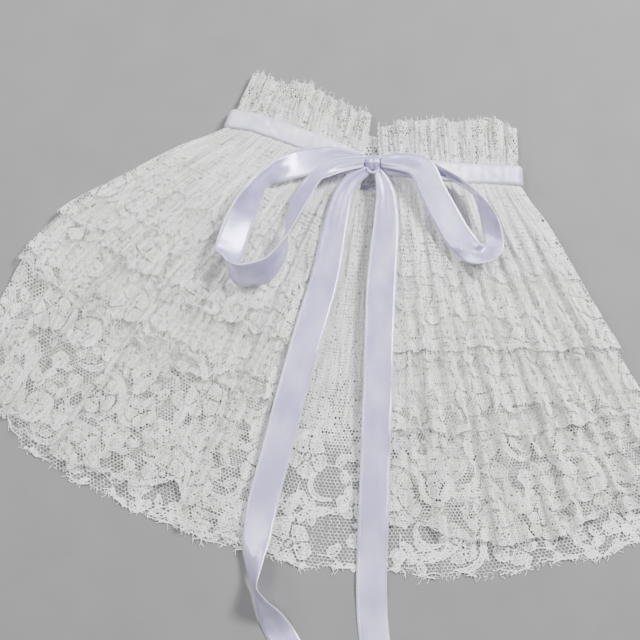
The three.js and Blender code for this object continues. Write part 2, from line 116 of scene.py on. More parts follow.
RIBBON_COLUMNS = ("x", "y", "z", "across", "tip", "width")
LOOP_LEFT = (
    (34.0, 126.6, 14.2, -81, 0, 8.5),
    (15.7, 128.6, 14.2, -73, 0, 13),
    (0.0, 124.9, 14.3, -81, -1, 20),
    (-16.1, 121.4, 15.2, -82, -1, 22),
    (-28.6, 115.8, 18.2, -82, -15, 18),
    (-39.8, 108.3, 23.0, -87, -58, 16),
    (-49.8, 94.6, 23.8, -34, -51, 19.5),
    (-58.8, 78.0, 21.4, -11, -27, 22),
    (-65.0, 60.8, 20.8, -3, -21, 23),
    (-68.6, 44.9, 22.5, -23, -35, 22),
    (-68.3, 35.6, 25.0, -68, -62, 21),
    (-58.7, 29.7, 25.5, -87, -57, 22),
    (-40.9, 33.5, 25.5, -76, -55, 23),
    (-29.4, 45.4, 26.0, -60, -68, 22),
    (-24.3, 57.7, 26.5, -20, -89, 21),
    (-21.4, 71.4, 26.8, -17, -114, 22),
    (-15.9, 86.4, 25.5, -10, -129, 22),
    (-8.0, 102.3, 23.0, 5, -148, 19),
    (3.4, 112.7, 20.8, -37, -168, 12.5),
    (17.6, 118.8, 20.0, -73, -180, 11),
    (33.6, 121.3, 19.5, -98, -180, 8),
)
LOOP_RIGHT = (
    (46.5, 121.4, 19.4, 89, 0, 8),
    (57.5, 120.9, 21.0, 86, 0, 13),
    (68.7, 119.1, 23.0, 58, 7, 16.5),
    (77.3, 113.4, 24.5, 28, 15, 19.5),
    (84.3, 98.2, 23.5, 14, 15, 20),
    (93.1, 80.0, 22.0, 14, 16, 21.5),
    (100.8, 65.5, 20.5, 13, 18, 22),
    (107.1, 56.7, 19.8, 11, 16, 22.5),
    (112.0, 50.6, 20.0, 20, 26, 21),
    (117.4, 47.6, 21.0, 48, 12, 18),
    (124.2, 48.2, 22.0, 92, -25, 18),
    (128.7, 52.0, 22.5, 120, -30, 21),
    (129.9, 59.0, 22.5, 137, -34, 22.5),
    (128.6, 69.9, 23.0, 141, -36, 22.5),
    (125.0, 81.9, 23.5, 138, -44, 21.5),
    (119.9, 90.8, 24.2, 128, -57, 21),
    (111.4, 99.2, 24.5, 122, -71, 20),
    (99.9, 107.6, 23.2, 140, -82, 18),
    (88.4, 114.8, 20.0, 200, -75, 12),
    (77.7, 119.6, 16.3, 252, -22, 10.5),
    (62.7, 122.4, 14.9, 265, -3, 10.5),
    (46.9, 123.6, 15.0, 269, 0, 8.5),
)
TAIL_LEFT = (
    (36.1, 116.2, 16.8, -40, 0, 8),
    (25.6, 108.6, 16.5, -26, -2, 12),
    (18.2, 97.5, 15.0, -20, -2, 14),
    (13.4, 80.5, 13.9, -12, 0, 17),
    (9.8, 61.5, 13.6, -10, 0, 19),
    (3.4, 30.2, 13.6, -13, 0, 21),
    (-4.7, 1.6, 13.6, -13, 0, 22),
    (-11.9, -23.2, 13.5, -11, 0, 22),
    (-17.5, -43.5, 11.6, -12, 0, 22),
    (-23.1, -64.3, 10.0, -12, 0, 22),
    (-32.5, -101.2, 6.6, -12, 0, 22),
    (-41.6, -137.5, 6.2, -12, 0, 22),
    (-45.5, -160.3, 7.2, -11, 6, 21),
    (-48.1, -177.5, 9.6, -15, 36, 19),
    (-47.8, -191.2, 11.0, -5, 66, 19),
    (-46.4, -200.3, 11.4, 30, 80, 19),
    (-41.9, -210.0, 9.4, 26, 62, 18),
    (-34.2, -220.7, 4.6, 18, 22, 19),
    (-26.5, -233.4, 1.0, 16, 2, 21),
    (-16.1, -251.1, 0.5, 22, 0, 21.5),
    (-1.4, -271.2, 0.5, 29, 0, 22),
    (14.5, -290.5, 0.5, 32, 0, 22),
)
TAIL_RIGHT = (
    (44.0, 115.9, 16.8, 14, 0, 6.5),
    (48.6, 104.6, 16.2, 6, 0, 12),
    (50.5, 91.2, 14.4, 3, 0, 16),
    (50.3, 74.9, 13.8, 0, 0, 19),
    (48.6, 55.2, 13.6, 0, 0, 21),
    (46.0, 23.6, 13.6, -2, 0, 22),
    (44.5, -9.9, 13.6, 0, 0, 22),
    (43.6, -31.5, 13.2, 0, 0, 22),
    (42.6, -58.8, 10.3, 0, 0, 22),
    (41.4, -83.8, 9.7, 0, 0, 22),
    (40.6, -104.7, 6.6, 0, 0, 22),
    (39.4, -136.1, 6.2, 0, 0, 22),
    (38.5, -158.3, 4.6, 0, 0, 22),
    (37.7, -178.4, 2.1, 0, 0, 22),
    (37.2, -196.6, 1.7, 0, 0, 22),
    (37.5, -214.2, 0.6, 0, 0, 22),
    (39.1, -234.7, 0.5, 1, 0, 22),
    (42.4, -258.8, 0.5, 3, 0, 22),
    (47.2, -282.6, 0.5, 8, 0, 22),
    (51.2, -299.4, 0.5, 11, 0, 22),
)


# Interpolation of the tables
def table(names, rows):
    columns = dict(zip(names, np.array(rows, float).T))
    columns.setdefault("at", np.arange(len(rows), dtype=float))
    return columns


def read(columns, name, at):
    """A column's value between its rows, smooth and without overshoot"""
    places, values = columns["at"], columns[name]
    spans = np.diff(places)
    slopes = np.diff(values) / spans
    before = np.concatenate([slopes[:1], slopes])
    after = np.concatenate([slopes, slopes[-1:]])
    agree = before * after > 0
    tangents = np.where(agree, 2 * before * after / np.where(agree, before + after, 1), 0)
    i = np.searchsorted(places[1:-1], at, side="left")
    t = (at - places[i]) / spans[i]
    blend = t * t * (3 - 2 * t)
    leaving = t * (1 - t) ** 2 * spans[i] * tangents[i]
    arriving = t * t * (1 - t) * spans[i] * tangents[i + 1]
    return values[i] + (values[i + 1] - values[i]) * blend + leaving - arriving


def ease(value, low, high):
    t = np.clip((value - low) / (high - low), 0, 1)
    return t * t * (3 - 2 * t)


def summed(steps):
    """Sum of the steps before each place"""
    return np.concatenate([[0], np.cumsum(steps)])


def run_along(points):
    """Length of a line of points up to each of them"""
    return summed(np.linalg.norm(np.diff(points, axis=0), axis=1))


def unit(vectors):
    return vectors / (np.linalg.norm(vectors, axis=-1)[..., None] + TINY)


def gather_wave(at, count, phase):
    """Height of the gathers, 0 in a valley and 1 on a crest, and the gather's number"""
    widths = 1 + 0.34 * np.sin(2.4 * np.arange(count) + phase)
    ends = summed(widths) / widths.sum()
    gather = np.clip(np.searchsorted(ends, at, side="right") - 1, 0, count - 1)
    place = (at - ends[gather]) / (ends[gather + 1] - ends[gather])
    return (1 - np.cos(2 * pi * place)) / 2, gather


# The loop of the collar: front left, left fold, back, right fold, front right
LOOP_STEPS = 900
FOLD_STEPS = 24


def stretch(rows, at, turn, side, waves):
    columns = table(PANEL_COLUMNS, rows)
    part = {name: read(columns, name, at) for name in PANEL_COLUMNS[1:]}
    wave, gather = gather_wave(at, *waves) if waves else (np.zeros_like(at), np.zeros_like(at))
    part.update(at=at, turn=turn, side=side, wave=wave, gather=gather)
    return part


def make_loop(waves):
    run = np.linspace(0, 1, LOOP_STEPS)
    arc = np.linspace(0, pi, FOLD_STEPS + 2)[1:-1]
    ones = np.ones(LOOP_STEPS)
    bend = np.ones(FOLD_STEPS)
    parts = [
        stretch(FRONT_LEFT, run, 0 * ones, -ones, waves[0]),
        stretch(FRONT_LEFT, bend, arc, -bend, None),
        stretch(BACK, run, pi * ones, np.where(run < 0.5, -1, 1), None),
        stretch(FRONT_RIGHT, bend, arc[::-1], bend, None),
        stretch(FRONT_RIGHT, run[::-1], 0 * ones, ones, waves[1]),
    ]
    loop = {name: np.concatenate([part[name] for part in parts]) for name in parts[0]}
    loop["seam"] = summed(np.hypot(np.diff(loop["x"]), np.diff(loop["y"])))
    return loop


def along_loop(loop, place):
    """The loop's fields at fractional places"""
    stations = np.arange(len(loop["at"]))
    return {name: np.interp(place, stations, values) for name, values in loop.items()}


PLAN_STEPS = 16
NECK_INSET = 3.6  # how far the ribbon pulls the side folds in at the neck
NECK_INSET_END = 42.0
NECK_INSET_FROM = 0.8  # share of the seam


def plan_point(c, d):
    """Place on the ground at a distance d from the seam, and the way out of a side fold there

    c holds the loop's fields at some places along the seam, as it does in all the surfaces.
    """
    rise = np.radians(c["rise"])
    step = np.maximum(d, 0) / PLAN_STEPS
    x, y = c["x"].copy(), c["y"].copy()
    heading = np.zeros_like(x)
    for i in range(PLAN_STEPS):
        droop = c["droop"] * ease((i + 0.5) * step, DROOP_START, DROOP_END)
        heading = np.radians(c["lean"] - droop)
        x -= np.sin(heading) * step
        y -= np.cos(heading) * step
    above = d <= 0
    x = np.where(above, c["x"] - np.sin(rise) * d, x)
    y = np.where(above, c["y"] - np.cos(rise) * d, y)
    heading = np.where(above, rise, heading)
    out_x, out_y = c["side"] * np.cos(heading), -c["side"] * np.sin(heading)
    on_back = c["turn"] > pi - 0.001
    beside_fold = ease(np.where(on_back, np.abs(2 * c["at"] - 1), c["at"]), NECK_INSET_FROM, 1)
    inset = NECK_INSET * beside_fold * (1 - ease(d, 0, NECK_INSET_END))
    return x - out_x * inset, y - out_y * inset, out_x, out_y


def back_height(c, d, layer):
    beneath = 0
    for edge in (0, c["top"], c["middle"])[:layer]:
        beneath = beneath + 1 - ease(d, edge + STEP_START, edge + STEP_START + STEP_RUN)
    return WALL / 2 + FLAT_PITCH * beneath


def swell(c, d):
    grown = np.clip(d / SWELL_RUN, 0, 1)
    uneven = np.where(d > 0, 1 + 0.32 * np.sin(2.3 * c["gather"] + d / 55), 1)
    opening = OPENING_SWELL + (1 - OPENING_SWELL) * ease(c["at"], *OPENING_RUN)
    fold = 1 - ease(c["at"], *FOLD_RUN)
    return c["wave"] * (NECK_SWELL + (HEM_SWELL - NECK_SWELL) * grown) * uneven * opening * fold


# Fine gathers at the neck and creases over all the layers, so that no layer meets the next
PUCKER = 3.9  # their spacing at the seam
PUCKER_HEIGHT = 1.35
PUCKER_REACH = 48.0
CREASE_RISE, CREASE_FALL = 30, 50  # how long a crease takes to grow and to die out
CREASE_SPREAD = 140
CREASES = (  # place along the seam, start, end, slant, width, height
    (13, 70, 230, 0.14, 9, 0.9),
    (20, 40, 170, 0.10, 5, 0.9),
    (27, 110, 300, 0.02, 5, 1.0),
    (34, 20, 120, -0.06, 4, -0.8),
    (47, 60, 260, 0.12, 7, 1.2),
    (55, 90, 210, -0.12, 4, -0.9),
    (63, 30, 150, 0.05, 4, 0.9),
    (70, 130, 300, 0.15, 6, 1.1),
    (78, 90, 280, -0.08, 6, 1.1),
    (92, 25, 140, 0.07, 5, -0.7),
    (106, 70, 240, 0.10, 6, 1.0),
    (346, 90, 290, 0.09, 4, 1.1),
    (352, 50, 230, -0.06, 6, 1.0),
    (359, 110, 250, 0.16, 5, -0.9),
    (366, 20, 130, 0.05, 4, 0.8),
    (373, 60, 190, -0.14, 4, 1.0),
    (381, 70, 260, 0.10, 7, 1.2),
    (389, 120, 290, -0.04, 4, 1.1),
    (398, 30, 160, -0.10, 5, -0.8),
    (405, 80, 210, 0.18, 5, 1.0),
    (413, 60, 250, 0.08, 6, 1.1),
    (422, 100, 280, -0.12, 5, -0.9),
    (431, 35, 150, -0.05, 5, 0.9),
)


def pucker(c, d):
    """Height of the fine gathers, from sines whose lengths share no measure, so that none repeats"""
    seam = c["seam"]
    turn = 2 * pi * seam / PUCKER + 2.4 * np.sin(seam / 17)
    turn = turn + 1.1 * np.sin(seam / 7.3 + d / 60)
    turn = turn + 0.8 * np.sin(d / 26 + seam / 9) * ease(d, 10, 60)
    number = np.floor(turn / (2 * pi))
    reach = PUCKER_REACH + 30 * np.sin(number * 2.9) + 14 * np.sin(number * 1.3 + 1)
    grown = ease(d, -1, 12) * (1 - ease(d, 0.35 * reach, reach + 30))
    opening = np.where(c["turn"] > 0, 1, 0.45 + 0.55 * ease(c["at"], 0.12, 0.2))
    uneven = 0.64 + 0.36 * np.sin(number * 1.7 + d / 45)
    return PUCKER_HEIGHT * grown * opening * uneven * (1 - np.cos(turn)) / 2


def crease(c, d):
    height = np.zeros_like(d)
    spread = 1 + np.maximum(d, 0) / CREASE_SPREAD
    for seam, start, end, slant, width, rise in CREASES:
        off = (c["seam"] - seam - slant * d * 0.4) * spread / width
        shown = ease(d, start, start + CREASE_RISE) * (1 - ease(d, end - CREASE_FALL, end))
        height += rise * shown * np.exp(-off * off)
    return height


def front_height(c, d, layer):
    pitch = FLAT_PITCH + (GATHERED_PITCH - FLAT_PITCH) * ease(d, 0, PITCH_RUN)
    base = back_height(c, d, INNERMOST) + HOLLOW
    return base + pitch * (INNERMOST - layer) + swell(c, d)


def loop_point(c, d, front, back, flare=0.0):
    """Front over back, joined round the side folds; flare is how far a fold swings out"""
    x, y, out_x, out_y = plan_point(c, d)
    radius = (front - back) / 2
    out = (radius + flare) * np.sin(c["turn"])
    height = back + radius * (1 + np.cos(c["turn"]))
    return np.stack([x + out_x * out, y + out_y * out, height], axis=-1)


RIPPLE = 1.6  # a hem's own ripple, past the edge of the tier above it
RIPPLE_START = (90, 150)  # where no tier lies above
HEM_CURL = 1.6  # a hem lies close to the tier below and lifts in places
HEM_CURL_RUN = 20
HEM_FLARE = (1.0, 1.4, 0.5)  # at the side folds, top to bottom tier
HEM_FLARE_RUN = 45


def tier_surface(layer, tier, above):
    """A tier's sheet: (columns, d) to points"""

    def surface(c, d):
        front = front_height(c, d, layer) + pucker(c, d) + crease(c, d)
        covered = (c[above] + 4, c[above] + 35) if above else RIPPLE_START
        free = ease(d, *covered)
        opening = ease(c["at"], 0.05, 0.2)
        wave = np.sin(c["seam"] * 0.62 + layer * 2.1 + 0.9 * np.sin(d / 19 + c["seam"] / 11))
        own = RIPPLE * free * opening * (0.5 + 0.5 * wave)
        curl = (0.4 * np.sin(c["seam"] / 4.3 + layer) - 0.25) * ease(c["at"], 0.14, 0.28)
        own = own + HEM_CURL * curl * ease(d, c[tier] - HEM_CURL_RUN, c[tier]) * (c["turn"] < 1)
        back = back_height(c, d, layer) + 0.55 * pucker(c, d)
        flare = HEM_FLARE[layer - 1] * ease(d, c[tier] - HEM_FLARE_RUN, c[tier])
        return loop_point(c, d, front + own, back + 0.45 * own, flare)

    return surface


FINE_PLEAT = 3.4  # the frill's small pleats, their spacing and height
FINE_PLEAT_HEIGHT = 2.6


def frill_surface(c, d):
    seam, reach = c["seam"], -d
    grown = ease(reach, BAND_WIDTH, c["frill"])
    fold = 1 - ease(c["at"], 0.95, 1)
    turn = 2 * pi * seam / FINE_PLEAT + 2.2 * np.sin(seam / 9) + 1.2 * np.sin(reach / 8 + seam / 6)
    uneven = 0.6 + 0.4 * np.sin(seam / 2.9 + reach / 12)
    shown = ease(reach, BAND_WIDTH + 1, BAND_WIDTH + 10)
    fine = FINE_PLEAT_HEIGHT * uneven * shown * (1 - np.cos(turn)) / 2
    height = PLEAT_SEAM_HEIGHT + (PLEAT_TOP_HEIGHT - PLEAT_SEAM_HEIGHT) * grown
    front = PLEAT_BASE + c["wave"] * height * fold + fine
    edge = BAND_WIDTH + STEP_START
    back = WALL / 2 + FLAT_PITCH * (1 - ease(reach, edge, edge + STEP_RUN / 2)) + 0.5 * fine
    return loop_point(c, d, front, back)


# Lace strips in cloth coordinates: u runs along the strip, d from the seam line towards the hem
CELL = 2.5  # from one hole of the net to the next
UNDERSIDE_CELL = 3.3
HIDDEN_ROW = 6.5
GATHERED_ROW = 1.8  # by how much the rows at the neck are wider
GATHERED_ROWS = (20, 90)
HEM_LAP = (16, 6)  # from where to where the net gets full before the hem above
ROW_SHARE = sqrt(3) / 2
OPEN, HALF_STITCH, CLOTH_STITCH, RING = 0.86, 0.62, 0.30, 0.93
BUNCHED = 0.3  # share of a hole that the gathers leave open at the neck
GATHERED_RUN = (15, 105)  # over which the holes open, on the front and on the outer backs
INSIDE_RUN = (130, 225)  # the same on the innermost back, seen between the front edges
FRILL_HOLES = 0.62
UNEVEN = 0.8
FOLD_LAP = 1.2
SEAM_SHARE = 0.25  # share of the seam, against the hem, in how the cloth is spread along the strip
SMALLEST_HOLE, LARGEST_HOLE = 0.06, 0.94
HOLE_SPREAD, PLACE_SPREAD = 0.035, 0.04


class Strip:
    """A gathered lace strip: its cut width, its surface and how its raw edge runs"""

    def __init__(self, loop, surface, width, edge, first, last, hidden=None):
        self.loop, self.surface, self.width, self.edge = loop, surface, width, edge
        self.first, self.last, self.hidden = first, last, hidden
        stations = np.arange(len(loop["at"]), dtype=float)
        rim = surface(loop, self.edge_at(loop))
        run = run_along(rim)
        mixed = (1 - SEAM_SHARE) * run / run[-1] + SEAM_SHARE * loop["seam"] / loop["seam"][-1]
        self.station = lambda u: np.interp(u / width, mixed, stations)
        folds = (LOOP_STEPS + FOLD_STEPS / 2, len(stations) - LOOP_STEPS - FOLD_STEPS / 2)
        self.folds = [float(np.interp(fold, stations, mixed)) * width for fold in folds]

    def edge_at(self, c):
        return c[self.edge] * (-1 if self.edge == "frill" else 1)

    def ragged(self, u):
        """How far the raw edge strays outwards along the strip"""
        coarse = 1.5 * np.sin(u / 7.7 + 1 + 1.2 * np.sin(u / 31)) + 1.1 * np.sin(u / 15 + 2)
        return 0.8 * np.sin(u / 2.6 + 2 * np.sin(u / 19)) + coarse

    def columns(self, u):
        return along_loop(self.loop, self.station(u))

    def inside(self, u, d):
        """How far inside the raw edge a place lies"""
        edge = self.edge_at(self.columns(u))
        inwards = (d - edge) if self.edge == "frill" else (edge - d)
        return inwards + self.ragged(u)

    def points(self, u, d):
        return self.surface(self.columns(u), d)


def shown_below(hidden, d):
    """0 under the tier above and 1 past its hem"""
    return ease(d, hidden - HEM_LAP[0], hidden - HEM_LAP[1])


def row_places(strip, cell, hidden):
    """Where the rows of the net lie: close where the strip shows, wide apart where a tier hides it"""
    row = cell * ROW_SHARE
    places = [strip.first]
    while places[-1] < strip.last:
        d = places[-1]
        if strip.edge == "frill":
            spacing = row
        elif hidden is None:
            spacing = row + GATHERED_ROW * (1 - ease(d, *GATHERED_ROWS))
        else:
            spacing = row + (HIDDEN_ROW - row) * (1 - shown_below(hidden, d))
        places.append(d + float(spacing))
    return np.array(places)


# Lace motifs: flowers, leaf sprays and scrolls, repeated with a half drop
UNIT_WIDTH = 74.0
UNIT_LENGTH = 66.0
FLOWERS = (  # u, d, radius, turn
    (17, 17, 15, 12),
    (56, 47, 11, 40),
    (60, 9, 6.5, 70),
)
SPRAYS = (  # u, d, heading, bend at each leaf, leaves, leaf length
    (33, 21, 10, 22, 6, 11.5),
    (16, 36, 100, -24, 6, 12),
    (43, 52, 200, -18, 5, 11),
    (66, 42, -70, -20, 5, 10),
    (1, 7, -110, 25, 4, 10),
)
SCROLLS = (  # u, d, radius, start, sweep, width
    (17, 17, 19, 150, 130, 4.0),
    (56, 47, 15, -20, 120, 3.6),
    (36, 36, 11, 60, 170, 3.2),
    (71, 21, 9, 100, 150, 3.0),
)
PETALS = 5
HEART = 0.27  # share of a flower's radius inside its ring of holes
SPRAY_STEP = 6.8
LEAF_LEAN = 52.0
HEART_STITCHED = 0.14
PETAL, LEAF = 1.5, 0.9  # where a lobe is widest: above 1 near its tip
SHIFT_SPREAD = 1.8
TURN_SPREAD = 9.0


def lay_out_motifs(strip, seed):
    """Lobes, rings, bands and stems over a whole strip"""
    rng = np.random.default_rng(seed)
    lobes, discs, bands, stems = [], [], [], []
    first_unit = int(strip.first // UNIT_LENGTH) - 1
    offset = rng.uniform(0, UNIT_LENGTH)
    for i in range(-1, int(strip.width // UNIT_WIDTH) + 2):
        for j in range(first_unit - 1, int(strip.last // UNIT_LENGTH) + 2):
            corner = np.array([i * UNIT_WIDTH, j * UNIT_LENGTH + (i % 2) * UNIT_LENGTH / 2 + offset])

            def spot(u, d):
                return corner + (u, d) + rng.uniform(-SHIFT_SPREAD, SHIFT_SPREAD, 2)

            for u, d, radius, turn in FLOWERS:
                middle = spot(u, d)
                turn += rng.uniform(-TURN_SPREAD, TURN_SPREAD)
                discs.append((middle, radius))
                for k in range(PETALS):
                    heading = radians(turn + 360 / PETALS * k)
                    base = middle + HEART * radius * np.array([cos(heading), sin(heading)])
                    lobes.append((base, heading, 0.76 * radius, 0.86 * radius, PETAL))
            for u, d, heading, bend, leaves, length in SPRAYS:
                place = spot(u, d)
                heading += rng.uniform(-TURN_SPREAD, TURN_SPREAD)
                stem = [place]
                for k in range(leaves):
                    angle = radians(heading)
                    place = place + SPRAY_STEP * np.array([cos(angle), sin(angle)])
                    stem.append(place)
                    lean = (LEAF_LEAN if k % 2 else -LEAF_LEAN) if k + 1 < leaves else 0
                    size = length * (1 - 0.07 * k)
                    lobes.append((place, radians(heading + lean), size, 0.56 * size, LEAF))
                    heading += bend
                stems.append(np.array(stem))
            for u, d, radius, start, sweep, width in SCROLLS:
                start += rng.uniform(-TURN_SPREAD, TURN_SPREAD)
                bands.append((spot(u, d), radius, radians(start), radians(sweep), width))
    return lobes, discs, bands, stems


def lobe_half_width(share, width, fullness):
    return width / 2 * np.sin(pi * np.clip(share, 0, 1) ** fullness) ** 0.8


def hole_sizes(u, d, motifs, rng):
    """The hole left in each cell of the net: small in the motifs, wide round a flower's heart"""
    lobes, discs, bands, _ = motifs
    holes = np.full(len(u), OPEN)
    order = np.argsort(u)
    sorted_u = u[order]

    def near(middle, reach):
        """The cells near a place, and how far from it they lie along u and d"""
        low, high = np.searchsorted(sorted_u, [middle[0] - reach, middle[0] + reach])
        some = order[low:high]
        some = some[np.abs(d[some] - middle[1]) < reach]
        return some, u[some] - middle[0], d[some] - middle[1]

    for middle, radius, start, sweep, width in bands:
        some, across, down = near(middle, radius + width)
        angle = (np.arctan2(down, across) - start) % (2 * pi)
        taper = width / 2 * np.sin(pi * np.clip(angle / sweep, 0, 1)) ** 0.5
        covered = (angle < sweep) & (np.abs(np.hypot(across, down) - radius) < taper)
        holes[some[covered]] = CLOTH_STITCH
    for base, heading, length, width, fullness in lobes:
        some, across, down = near(base, length + 1)
        along = across * cos(heading) + down * sin(heading)
        off = down * cos(heading) - across * sin(heading)
        share = along / length
        covered = (share > 0) & (share < 1) & (np.abs(off) < lobe_half_width(share, width, fullness))
        if fullness == LEAF:
            lighter = off > 0.4
        else:
            lighter = (share > 0.12) & (share < 0.34) & (np.abs(off) < 3)
        holes[some[covered]] = np.where(lighter[covered], HALF_STITCH, CLOTH_STITCH)
    for middle, radius in discs:
        some, across, down = near(middle, radius)
        off = np.hypot(across, down) / radius
        holes[some[off < HEART]] = RING
        holes[some[off < HEART_STITCHED]] = CLOTH_STITCH
    return holes * rng.normal(1, HOLE_SPREAD, len(u))


def net(strip, motifs, seed, start, end, cell, hidden, opening_run):
    """The net as rings of six points, joined by strands; returns cloth points, quads and triangles"""
    rng = np.random.default_rng(seed)
    rows = row_places(strip, cell, hidden)
    count = int((end - start) / cell)
    pitch = (end - start) / count
    i, j = np.meshgrid(np.arange(count), np.arange(1, len(rows) - 1), indexing="xy")
    middle_u = start + (i + 0.25 + 0.5 * (j % 2)) * pitch
    upper = (rows[j] + rows[j - 1]) / 2
    lower = (rows[j] + rows[j + 1]) / 2
    rise, fall = (rows[j] - rows[j - 1]) / 6, (rows[j + 1] - rows[j]) / 6
    corner_u = middle_u[..., None] + pitch / 2 * np.array([1, 1, 0, -1, -1, 0])
    sides_d = [upper + rise, lower - fall]
    corner_d = np.stack([*sides_d, lower + fall, *sides_d[::-1], upper - rise], axis=-1)
    middle_d = (upper + lower) / 2
    holes = hole_sizes(middle_u.ravel(), middle_d.ravel(), motifs, rng).reshape(i.shape)
    if strip.edge == "frill":
        opened = np.full(i.shape, FRILL_HOLES)
    else:
        opened = BUNCHED + (1 - BUNCHED) * ease(middle_d, *opening_run)
        if hidden is not None:
            opened = opened * (BUNCHED + (1 - BUNCHED) * shown_below(hidden, middle_d))
    uneven = rng.normal(1, UNEVEN, i.shape) * (1 - opened) + opened
    holes = np.clip(holes * opened * uneven, SMALLEST_HOLE, LARGEST_HOLE)[..., None]
    cloth_u = middle_u[..., None] + holes * (corner_u - middle_u[..., None])
    cloth_d = middle_d[..., None] + holes * (corner_d - middle_d[..., None])
    cloth = np.stack([cloth_u.ravel(), cloth_d.ravel()], axis=-1)
    cloth = cloth + rng.normal(0, PLACE_SPREAD, cloth.shape)
    cloth[:, 0] = np.clip(cloth[:, 0], 0, strip.width)
    present = strip.inside(middle_u.ravel(), middle_d.ravel()).reshape(i.shape) > 0
    number = np.arange(i.size).reshape(i.shape)

    def neighbour(down, right_if_even, right_if_odd):
        """The cell beside or below each cell, or -1"""
        column = i + np.where(j % 2, right_if_odd, right_if_even)
        row = (j - 1) + down
        fits = (column >= 0) & (column < count) & (row < len(number))
        beside = (np.minimum(row, len(number) - 1), np.clip(column, 0, count - 1))
        return np.where(fits & present & present[beside], number[beside], -1)

    right = neighbour(0, 1, 1).ravel()
    below_right = neighbour(1, 0, 1).ravel()
    below_left = neighbour(1, -1, 0).ravel()
    own = number.ravel()

    def faces(*corners):
        """Faces through a named corner of each given cell, where all the cells are there"""
        there = np.all([cells >= 0 for cells, _ in corners], axis=0)
        return np.stack([cells[there] * 6 + corner for cells, corner in corners], axis=-1)

    quads = np.concatenate([
        faces((own, 0), (own, 1), (right, 3), (right, 4)),
        faces((own, 1), (own, 2), (below_right, 4), (below_right, 5)),
        faces((own, 2), (own, 3), (below_left, 5), (below_left, 0)),
    ])
    triangles = np.concatenate([
        faces((own, 1), (below_right, 5), (right, 3)),
        faces((own, 2), (below_left, 0), (below_right, 4)),
    ])
    return cloth, quads, triangles


# Thick threads that edge the motifs
CORD_WIDTH = 0.95
CORD_HEIGHT = 0.45
CORD_STEP = 2.2
CORD_CLEARANCE = 0.04
CORD_MARGIN = 0.6  # free of cords at the strip's ends
CORD_PROBE = 0.4  # distance over which the sheet's slope is taken
EDGINGS = ((0.9, 0.0), (2.3, 2.0), (4.2, 4.0))  # inwards from the raw edge, phase of their wander
EDGING_PERIOD = 13  # steps from one piece of an edging thread to the next
STRAY_WIDTH = 0.35
STRAY_SPACING = 6.0


def cord_lines(strip, motifs, rng):
    """Lines in cloth coordinates, each with its width and whether it strays past the raw edge"""
    lobes, discs, bands, stems = motifs
    lines = []
    for base, heading, length, width, fullness in lobes:
        steps = max(5, int(length / CORD_STEP))
        share = np.linspace(0, 1, steps + 1)
        half = lobe_half_width(share, width, fullness)
        along = np.concatenate([share, share[-2::-1]]) * length
        off = np.concatenate([half, -half[-2::-1]])
        lines.append((turned(base, heading, along, off), CORD_WIDTH, False))
        if fullness == LEAF:
            vein = turned(base, heading, share[:-1] * length, 0 * share[:-1])
            lines.append((vein, 0.6 * CORD_WIDTH, False))
    for middle, radius in discs:
        angle = np.linspace(0, 2 * pi, max(8, int(1.7 * radius / CORD_STEP)) + 1)
        lines.append((middle + around(angle, 0.28 * radius), 0.8 * CORD_WIDTH, False))
    for middle, radius, start, sweep, width in bands:
        share = np.linspace(0, 1, int(radius * sweep / CORD_STEP))
        for side in (-1, 1):
            out = radius + side * width / 2 * np.sin(pi * share) ** 0.5
            lines.append((middle + around(start + sweep * share, out), 1.1 * CORD_WIDTH, False))
    for stem in stems:
        lines.append((smooth_line(stem), CORD_WIDTH, False))
    run = np.arange(1.0, strip.width - 1, CORD_STEP)
    out = -1 if strip.edge == "frill" else 1
    rim = strip.edge_at(strip.columns(run)) + out * strip.ragged(run)
    for offset, phase in EDGINGS:
        inwards = offset + 0.9 * np.sin(run / 2.3 + phase) + rng.normal(0, 0.45, len(run))
        edging = np.stack([run, rim - out * inwards], -1)
        for start in range(int(rng.integers(3, 9)), len(run) - EDGING_PERIOD + 1, EDGING_PERIOD):
            stop = start + int(rng.integers(7, EDGING_PERIOD))
            lines.append((edging[start:stop], 0.75 * CORD_WIDTH, False))
    for u in rng.uniform(0, strip.width, int(strip.width / STRAY_SPACING)):
        end = float((strip.edge_at(strip.columns(np.array([u]))) + out * strip.ragged(u))[0])
        length = rng.uniform(2, 5)
        drift = rng.uniform(-3, 3)
        share = np.linspace(0, 1, 4)
        place = np.stack([u + drift * share ** 2, end + out * (length * share - 1.5)], -1)
        lines.append((place, STRAY_WIDTH, True))
    return lines


def around(angle, radius):
    return np.stack([radius * np.cos(angle), radius * np.sin(angle)], -1)


def turned(base, heading, along, off):
    return np.stack([
        base[0] + along * cos(heading) - off * sin(heading),
        base[1] + along * sin(heading) + off * cos(heading),
    ], -1)


def smooth_line(points, steps=4):
    place = np.linspace(0, len(points) - 1, (len(points) - 1) * steps + 1)
    columns = {"at": np.arange(len(points), dtype=float), "u": points[:, 0], "d": points[:, 1]}
    return np.stack([read(columns, "u", place), read(columns, "d", place)], -1)


